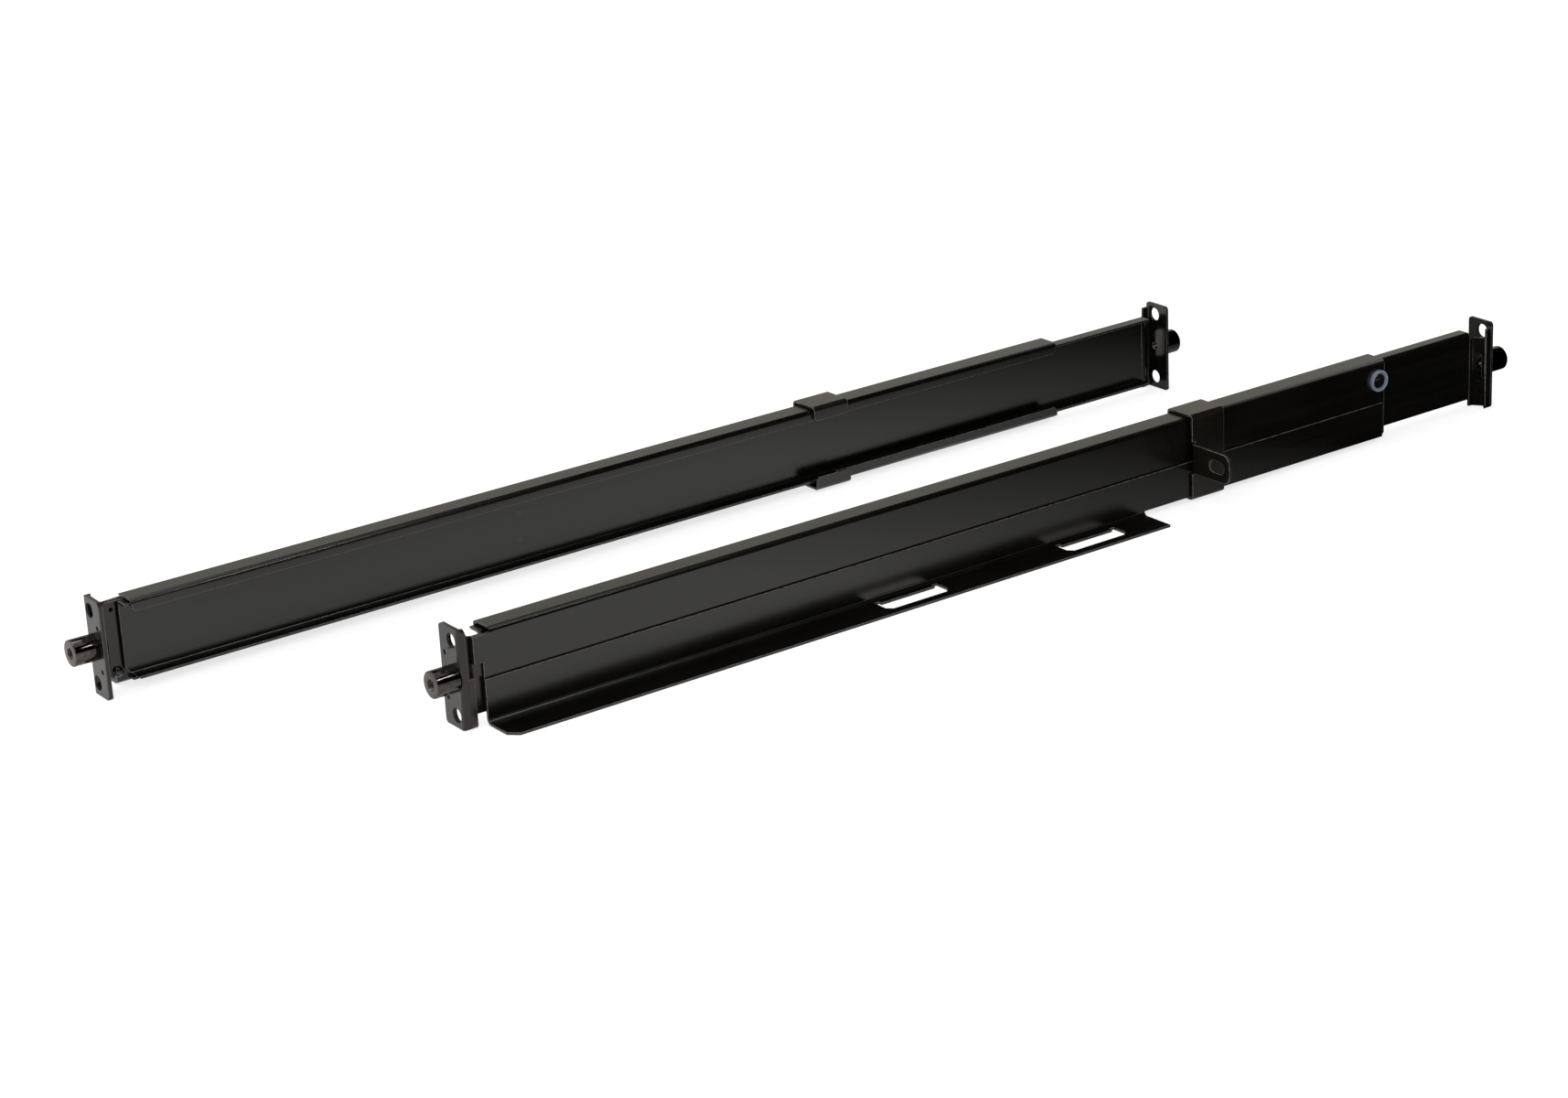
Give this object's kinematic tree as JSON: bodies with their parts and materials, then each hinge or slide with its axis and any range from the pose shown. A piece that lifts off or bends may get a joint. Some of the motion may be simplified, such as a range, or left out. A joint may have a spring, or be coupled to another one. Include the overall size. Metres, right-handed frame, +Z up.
{
  "type": "sliding server rail pair",
  "caption": "Black telescoping rails that carry a server in a rack: outer channel with ledge, sliding inner channel, slotted collar, end ears and studs.",
  "frame": {"origin": "centre of the pair's outline in plan, on the surface it stands on", "axes": "+X from the rack's front to its rear along the slides, +Y across the rack, +Z up"},
  "size_m": [0.683, 0.1914, 0.0425],
  "materials": {
    "black_paint": "satin black powder coat",
    "ear_paint": "satin black powder coat",
    "inner_paint": "satin black powder coat",
    "collar_paint": "satin black powder coat",
    "stud_steel": "semi-gloss black coating on turned steel",
    "black_rivet": "black coated steel",
    "black_screw": "glossy black coated steel",
    "clear_nylon": "translucent natural nylon",
    "black_nylon": "black nylon"
  },
  "bodies": {
    "fixed_rails": {"left_outer_channel": "black_paint", "left_support_angle": "black_paint", "left_front_ear": "ear_paint", "left_front_stud": "stud_steel", "left_stop_rivet": "black_rivet", "left_glide_bush": "clear_nylon", "left_glide_screw": "black_screw", "right_outer_channel": "black_paint", "right_support_angle": "black_paint", "right_front_ear": "ear_paint", "right_front_stud": "stud_steel", "right_stop_rivet": "black_rivet", "right_glide_bush": "clear_nylon", "right_glide_screw": "black_screw"},
    "left_sliding_rail": {"left_inner_channel": "inner_paint", "left_glide_pad": "black_nylon", "left_rear_ear": "inner_paint", "left_rear_stud": "stud_steel"},
    "right_sliding_rail": {"right_inner_channel": "inner_paint", "right_glide_pad": "black_nylon", "right_rear_ear": "inner_paint", "right_rear_stud": "stud_steel"},
    "left_sliding_collar": {"left_collar": "collar_paint"},
    "right_sliding_collar": {"right_collar": "collar_paint"}
  },
  "joints": [
    {"name": "left_rail_slide", "type": "slide", "parent": "fixed_rails", "child": "left_sliding_rail", "axis": [1, 0, 0], "range_m": [0, 0.28]},
    {"name": "right_rail_slide", "type": "slide", "parent": "fixed_rails", "child": "right_sliding_rail", "axis": [1, 0, 0], "range_m": [0, 0.28]},
    {"name": "left_collar_slide", "type": "slide", "parent": "fixed_rails", "child": "left_sliding_collar", "axis": [1, 0, 0], "range_m": [-0.025, 0.09]},
    {"name": "right_collar_slide", "type": "slide", "parent": "fixed_rails", "child": "right_sliding_collar", "axis": [1, 0, 0], "range_m": [-0.0025, 0.1125]}
  ]
}
